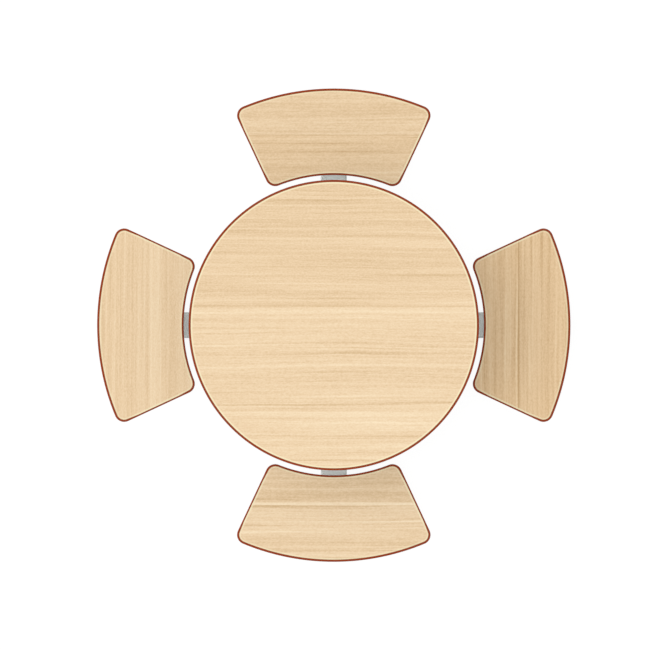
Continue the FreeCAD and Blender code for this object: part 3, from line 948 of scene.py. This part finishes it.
built = bmesh.new()
lift = UP * high("column").z
head_line = joint_line(column_side, column_side, TUBE_CORNER, BEAD_STEP)
head_line = [(point + lift, direction) for point, direction in head_line]
add_bead(built, head_line, DOWN, HEAD_LEG)
post_line = joint_line(post_side, post_side, TUBE_CORNER, BEAD_STEP)
post_foot = Vector((spindle_place, 0, high("arm_1").z))
section = joint_line(arm_width, arm_height, TUBE_CORNER, BEAD_STEP)
start = Vector((column_side / 2, 0, arm_middle))
for station in STATIONS:
    turn = station_turn(station)
    line = [(turn @ (point + post_foot), turn @ direction) for point, direction in post_line]
    add_bead(built, line, UP, POST_LEG)
    line = []
    for point, direction in section:
        if direction.y > LOOKS_DOWN and point.y > TUBE_CORNER - arm_height / 2:
            point = Vector((0, point.x, point.y)) + start
            line.append((turn @ point, turn @ Vector((0, direction.x, direction.y))))
    add_bead(built, line, turn @ Vector((1, 0, 0)), ARM_LEG, closed=False)
welds = finish_piece("base_welds", built, (weld_metal,), "base")
print(f"weld beads: {len(welds.data.vertices)} vertices")

# %% [markdown]
# ## Arm end caps
#
# A moulded cap closes each arm. Its cover follows the tube's round corners, has a soft outer edge
# and is dished a little, and its plug grips inside the tube. They are one stack of loops along the
# arm.

# %% Mould the arm end caps
COVER_THICKNESS, COVER_ROUND, COVER_ROUND_STEPS = 3.0 * MM, 1.2 * MM, 4
PLUG_LENGTH, PLUG_INSET = 14.0 * MM, 3.1 * MM
PLUG_LEAD, PLUG_LEAD_INSET = 2 * MM, 1.0 * MM
DISH_INSET, DISH_DEPTH = 4.5 * MM, 0.7 * MM
LEAST_CORNER = 0.8 * MM

arm_end = high("arm_end_caps").x
cover_start = arm_end - COVER_THICKNESS
plug_start = cover_start - PLUG_LENGTH
steps = [(PLUG_INSET + PLUG_LEAD_INSET, plug_start), (PLUG_INSET, plug_start + PLUG_LEAD)]
steps += [(PLUG_INSET, cover_start), (0.0, cover_start)]
for turned in quarter_turns(COVER_ROUND_STEPS):
    inset = COVER_ROUND * (1 - math.cos(turned))
    steps.append((inset, arm_end - COVER_ROUND * (1 - math.sin(turned))))
steps += [(DISH_INSET, arm_end), (DISH_INSET + DISH_DEPTH, arm_end - DISH_DEPTH)]
built = bmesh.new()
for station in STATIONS:
    turn = station_turn(station)
    loops = []
    for inset, reach in steps:
        corner = max(LEAST_CORNER, TUBE_CORNER - inset)
        line = joint_line(arm_width - 2 * inset, arm_height - 2 * inset, corner)
        centre = Vector((reach, 0, arm_middle))
        points = [turn @ (centre + Vector((0, point.x, point.y))) for point, _ in line]
        loops.append([built.verts.new(point) for point in points])
    wrap_closed(built, loops)
finish_piece("arm_end_covers", built, (cap_grey,), "base", ("arm_end_caps",))
print(f"arm end caps dished by {DISH_DEPTH / MM:.1f} mm")

# %% [markdown]
# ## Screws and bolts
#
# Wood screws with domed heads hold the boards to the castings, and four hexagon bolts with washers
# hold the top casting to the head plate. All are built from rings. A ring's radius may change with
# its angle, which gives a hexagon its flats and a screw its cross.

# %% Turn shapes from rings
RING_POINTS = 24
CROSS_ARM, CROSS_WAIST, CROSS_HALF_ARM = 0.52, 0.20, math.radians(20)


def ring(built, centre, axis, height, radius_at):
    """Ring of points about an axis, with a radius for each angle."""
    side = axis.orthogonal().normalized()
    across = axis.cross(side)
    made = []
    for k in range(RING_POINTS):
        angle = math.tau * k / RING_POINTS
        outward = side * math.cos(angle) + across * math.sin(angle)
        made.append(built.verts.new(centre + axis * height + outward * radius_at(angle)))
    return made


def stack_rings(built, centre, axis, steps):
    """Closed turned shape through rings given as a height and a radius function."""
    wrap_closed(built, [ring(built, centre, axis, *step) for step in steps])


def even(radius):
    """Radius that is the same all round."""
    return lambda angle: radius


def cross(radius):
    """Radius of a cross with four blunt arms."""

    def at(angle):
        off_arm = abs((angle + math.pi / 4) % (math.pi / 2) - math.pi / 4)
        return radius * (CROSS_ARM if off_arm < CROSS_HALF_ARM else CROSS_WAIST)

    return at


def hexagonal(flats, limit):
    """Radius of a hexagon, cut off at a circle."""

    def at(angle):
        off_flat = (angle + math.pi / 6) % (math.pi / 3) - math.pi / 6
        return min(limit, flats / 2 / math.cos(off_flat))

    return at


print(f"rings have {RING_POINTS} points")

# %% [markdown]
# A screw is a domed head with a cross sunk into it. A bolt is a washer with a hexagon on it.

# %% Build screws and bolts
SCREW_RADIUS, SCREW_HEIGHT = 4.2 * MM, 2.6 * MM
SCREW_HEAD = ((0.98, 0.0), (1.0, 0.2), (0.96, 0.55), (0.82, 0.85), (0.62, 1.0))
RECESS_FLOOR, RECESS_TAPER = 0.45, 0.8
BOLT_FLATS, BOLT_HEIGHT = 17 * MM, 6.4 * MM
BOLT_SHOULDER, BOLT_CROWN = 0.75, 0.98
WASHER_RADIUS, WASHER_THICKNESS, WASHER_EDGE = 11 * MM, 1.8 * MM, 0.3 * MM


def add_screw(built, seat, axis):
    """Domed screw head with a cross recess, standing on a face."""
    steps = [(SCREW_HEIGHT * up, even(SCREW_RADIUS * out)) for out, up in SCREW_HEAD]
    steps.append((SCREW_HEIGHT, cross(SCREW_RADIUS)))
    steps.append((SCREW_HEIGHT * RECESS_FLOOR, cross(SCREW_RADIUS * RECESS_TAPER)))
    stack_rings(built, seat, axis, steps)


def add_bolt(built, seat, axis):
    """Hexagon head on a washer, standing on a face."""
    washer = [(0, even(WASHER_RADIUS)), (WASHER_THICKNESS - WASHER_EDGE, even(WASHER_RADIUS))]
    washer.append((WASHER_THICKNESS, even(WASHER_RADIUS - WASHER_EDGE)))
    stack_rings(built, seat, axis, washer)
    sides = hexagonal(BOLT_FLATS, BOLT_FLATS / math.sqrt(3))
    head = [(0, sides), (BOLT_SHOULDER * BOLT_HEIGHT, sides)]
    head.append((BOLT_HEIGHT, hexagonal(BOLT_FLATS, BOLT_FLATS / 2 * BOLT_CROWN)))
    stack_rings(built, seat + axis * WASHER_THICKNESS, axis, head)


print("screws and bolts ready")

# %% [markdown]
# The screws stand on the flanges of the castings: one beyond the end of each rib, and pairs on both
# sides of it. Each place is a distance along a limb of the casting and to its side.

# %% Fasten the boards
SEAT_LIMB_X, SEAT_LIMB_Y = 80 * MM, 170 * MM
SEAT_SCREWS = ((-7.5 * MM, 0.0), (-93 * MM, 10.5 * MM), (-93 * MM, -10.5 * MM))
TABLE_LIMB_REACH = Vector((320 * MM, 0, 0))
TABLE_SCREWS = ((-8.5 * MM, 0.0), (-115 * MM, 13 * MM), (-115 * MM, -13 * MM))
TABLE_SCREWS += ((-205 * MM, 17 * MM), (-205 * MM, -17 * MM))
SEAT_FLANGE, TABLE_FLANGE, BOLT_PLACE = 5 * MM, 6 * MM, 65 * MM


def screw_limb(built, reach, places, centre, turn):
    """Screws along one limb of a casting."""
    forward = reach.normalized()
    sideways = Vector((-forward.y, forward.x, 0))
    for back, side in places:
        add_screw(built, turn @ (centre + reach + forward * back + sideways * side), DOWN)


built = bmesh.new()
under = UP * (low("tabletop_board").z - TABLE_FLANGE)
for station in STATIONS:
    screw_limb(built, TABLE_LIMB_REACH, TABLE_SCREWS, under, station_turn(station))
finish_piece("table_screws", built, (zinc,), "base")
centre = Vector((spindle_place, 0, low("seat_board_1").z - SEAT_FLANGE))
for station in STATIONS:
    built = bmesh.new()
    for x, y in FOUR_WAYS:
        reach = Vector((SEAT_LIMB_X * x, SEAT_LIMB_Y * y, 0))
        screw_limb(built, reach, SEAT_SCREWS, centre, station_turn(station))
    finish_piece(f"seat_{station}_screws", built, (zinc,), f"seat_{station}")
built = bmesh.new()
plate = low("column_head_plate").z
for x, y in FOUR_WAYS:
    add_bolt(built, Vector((BOLT_PLACE * x, BOLT_PLACE * y, plate)), DOWN)
finish_piece("head_plate_bolts", built, (zinc,), "base")
print("boards screwed on and the top bolted down")

# %% [markdown]
# ## Levelling feet
#
# Each foot hangs on an M10 stud, and its thread shows between the foot and the arm. A thread is a
# grid wrapped round a cylinder: the radius goes up and down once for each pitch, and the angle
# shifts that wave, so the crest climbs in a helix. A soft collar covers the stud's lower end.

# %% Cut the threads
THREAD_PITCH, THREAD_DEPTH = 1.5 * MM, 0.9 * MM
STEPS_PER_PITCH, THREAD_POINTS = 6, 24
COLLAR_RADIUS, COLLAR_HEIGHT, COLLAR_SINK = 8.5 * MM, 2.2 * MM, 0.5 * MM
COLLAR_STEPS = ((0.6, 0.97), (0.9, 0.9), (1.0, 0.8))


def threaded_stud(name, node, body):
    """Stud with a real thread, in the place of a plain one."""
    bottom, top = low(node), high(node)
    centre = (bottom + top) / 2
    major = (top.x - bottom.x) / 2
    rows = round((top.z - bottom.z) / THREAD_PITCH * STEPS_PER_PITCH)
    built = bmesh.new()
    loops = []
    for row in range(rows + 1):
        height = bottom.z + (top.z - bottom.z) * row / rows
        near_end = min(height - bottom.z, top.z - height) / THREAD_PITCH
        loop = []
        for k in range(THREAD_POINTS):
            share = k / THREAD_POINTS
            wave = abs(2 * (((height - bottom.z) / THREAD_PITCH - share) % 1) - 1)
            radius = major - THREAD_DEPTH * max(wave, 1 - near_end)
            angle = math.tau * share
            x, y = radius * math.cos(angle), radius * math.sin(angle)
            loop.append(built.verts.new((centre.x + x, centre.y + y, height)))
        loops.append(loop)
    wrap_closed(built, loops)
    finish_piece(name, built, (zinc,), body, (node,))


steps = [(-COLLAR_SINK, even(COLLAR_RADIUS))]
steps += [(COLLAR_HEIGHT * up, even(COLLAR_RADIUS * out)) for up, out in COLLAR_STEPS]
for station in STATIONS:
    body, stud = f"foot_{station}", f"foot_stud_{station}"
    threaded_stud(f"foot_{station}_thread", stud, body)
    built = bmesh.new()
    centre = (low(stud) + high(stud)) / 2
    centre.z = high(f"foot_base_{station}").z
    stack_rings(built, centre, UP, steps)
    finish_piece(f"foot_{station}_collar", built, (foot_black,), body)
print("four threaded studs with their collars")
